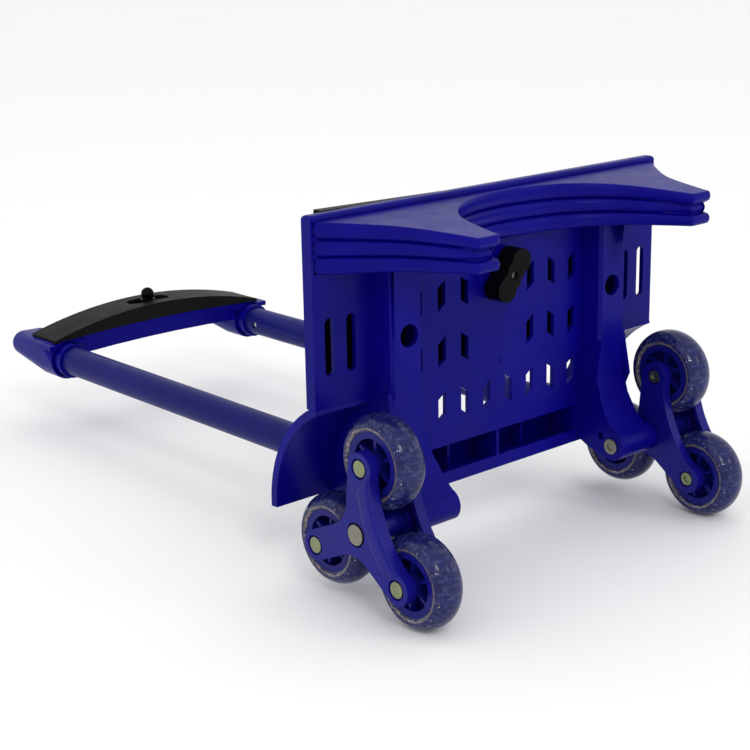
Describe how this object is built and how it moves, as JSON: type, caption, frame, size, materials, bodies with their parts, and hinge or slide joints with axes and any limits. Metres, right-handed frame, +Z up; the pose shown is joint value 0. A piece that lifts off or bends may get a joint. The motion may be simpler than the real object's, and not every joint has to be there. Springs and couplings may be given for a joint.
{
  "type": "shopping trolley frame",
  "caption": "Pull-along trolley base with tri-star wheel sets, telescopic tubes, a pull handle with a push-button lock, and a knob-tightened bag clamp.",
  "frame": {"origin": "centre of the bounding box's bottom face, on the floor the trolley lies on", "axes": "the trolley lies on its back: +Z up through the base's front edge, +Y along the tubes from the base to the handle, X across it along the wheel axles"},
  "size_m": [0.3, 0.5399, 0.2334],
  "materials": {
    "base_blue": "satin moulded",
    "star_blue": "satin moulded",
    "hub_blue": "gloss",
    "tyre_clear_blue": "clear soft PVC with glitter",
    "tube_paint": "satin paint",
    "tube_steel": "plated",
    "steel": "zinc plated",
    "rivet_nickel": "nickel plated",
    "black_plastic": "satin",
    "grip_black": "soft matte"
  },
  "bodies": {
    "frame": {"platform": "base_blue", "front_stand": "base_blue", "fender_l": "base_blue", "fender_r": "base_blue", "outer_tube_l": "tube_paint", "outer_tube_r": "tube_paint", "tube_collar_l": "base_blue", "tube_collar_r": "base_blue", "tube_screw_l": "steel", "tube_screw_r": "steel", "axle_l": "steel", "axle_r": "steel"},
    "clamp": {"clamp_plate": "black_plastic", "clamp_nut": "steel"},
    "knob": {"thumb_knob": "black_plastic", "knob_screw": "steel", "knob_clip": "steel"},
    "handle": {"handle_frame": "base_blue", "grip_pad": "grip_black", "inner_tube_l": "tube_steel", "inner_tube_r": "tube_steel", "guide_plug_l": "black_plastic", "guide_plug_r": "black_plastic", "handle_screw_l": "steel", "handle_screw_r": "steel", "button_spring": "steel"},
    "button": {"push_button": "black_plastic"},
    "release": {"release_yoke": "black_plastic", "push_rod_l": "steel", "push_rod_r": "steel"},
    "pin_l": {"lock_pin_l": "steel"},
    "pin_r": {"lock_pin_r": "steel"},
    "star_l": {"star_outer_l": "star_blue", "star_inner_l": "star_blue", "star_sleeve_l": "star_blue", "wheel_rivets_l": "rivet_nickel"},
    "star_r": {"star_outer_r": "star_blue", "star_inner_r": "star_blue", "star_sleeve_r": "star_blue", "wheel_rivets_r": "rivet_nickel"},
    "wheel_l1": {"hub_l1": "hub_blue", "tyre_l1": "tyre_clear_blue"},
    "wheel_l2": {"hub_l2": "hub_blue", "tyre_l2": "tyre_clear_blue"},
    "wheel_l3": {"hub_l3": "hub_blue", "tyre_l3": "tyre_clear_blue"},
    "wheel_r1": {"hub_r1": "hub_blue", "tyre_r1": "tyre_clear_blue"},
    "wheel_r2": {"hub_r2": "hub_blue", "tyre_r2": "tyre_clear_blue"},
    "wheel_r3": {"hub_r3": "hub_blue", "tyre_r3": "tyre_clear_blue"}
  },
  "joints": [
    {"name": "handle_slide", "type": "slide", "parent": "frame", "child": "handle", "axis": [0, 1, 0], "range_m": [0, 0.33]},
    {"name": "button_press", "type": "slide", "parent": "handle", "child": "button", "axis": [0, 0, -1], "range_m": [0, 0.004], "stiffness_N_per_m": 600, "springref_m": -0.003, "deforming": ["button_spring"]},
    {"name": "release_slide", "type": "slide", "parent": "handle", "child": "release", "axis": [0, -1, 0], "range_m": [0, 0.004]},
    {"name": "pin_l_slide", "type": "slide", "parent": "handle", "child": "pin_l", "axis": [-1, 0, 0], "range_m": [0, 0.002]},
    {"name": "pin_r_slide", "type": "slide", "parent": "handle", "child": "pin_r", "axis": [1, 0, 0], "range_m": [0, 0.002]},
    {"name": "knob_turn", "type": "hinge", "parent": "frame", "child": "knob", "pos_m": [0, -0.18394, 0.17731], "axis": [0, -1, 0], "range_deg": [0, 1170]},
    {"name": "clamp_slide", "type": "slide", "parent": "frame", "child": "clamp", "axis": [0, 1, 0], "range_m": [0, 0.0041]},
    {"name": "star_l_turn", "type": "hinge", "parent": "frame", "child": "star_l", "pos_m": [-0.13, -0.20794, 0.05231], "axis": [1, 0, 0], "continuous": true},
    {"name": "star_r_turn", "type": "hinge", "parent": "frame", "child": "star_r", "pos_m": [0.13, -0.20794, 0.05231], "axis": [1, 0, 0], "continuous": true},
    {"name": "wheel_l1_spin", "type": "hinge", "parent": "star_l", "child": "wheel_l1", "pos_m": [-0.13, -0.21174, 0.09333], "axis": [1, 0, 0], "continuous": true},
    {"name": "wheel_l2_spin", "type": "hinge", "parent": "star_l", "child": "wheel_l2", "pos_m": [-0.13, -0.17051, 0.03509], "axis": [1, 0, 0], "continuous": true},
    {"name": "wheel_l3_spin", "type": "hinge", "parent": "star_l", "child": "wheel_l3", "pos_m": [-0.13, -0.24156, 0.0285], "axis": [1, 0, 0], "continuous": true},
    {"name": "wheel_r1_spin", "type": "hinge", "parent": "star_r", "child": "wheel_r1", "pos_m": [0.13, -0.21174, 0.09333], "axis": [1, 0, 0], "continuous": true},
    {"name": "wheel_r2_spin", "type": "hinge", "parent": "star_r", "child": "wheel_r2", "pos_m": [0.13, -0.17051, 0.03509], "axis": [1, 0, 0], "continuous": true},
    {"name": "wheel_r3_spin", "type": "hinge", "parent": "star_r", "child": "wheel_r3", "pos_m": [0.13, -0.24156, 0.0285], "axis": [1, 0, 0], "continuous": true}
  ],
  "couplings": [
    {"joint": "release_slide", "follows": "button_press", "ratio": 1},
    {"joint": "pin_l_slide", "follows": "button_press", "ratio": 0.5},
    {"joint": "pin_r_slide", "follows": "button_press", "ratio": 0.5},
    {"joint": "clamp_slide", "follows": "knob_turn", "m_per_rad": 0.00019894}
  ]
}
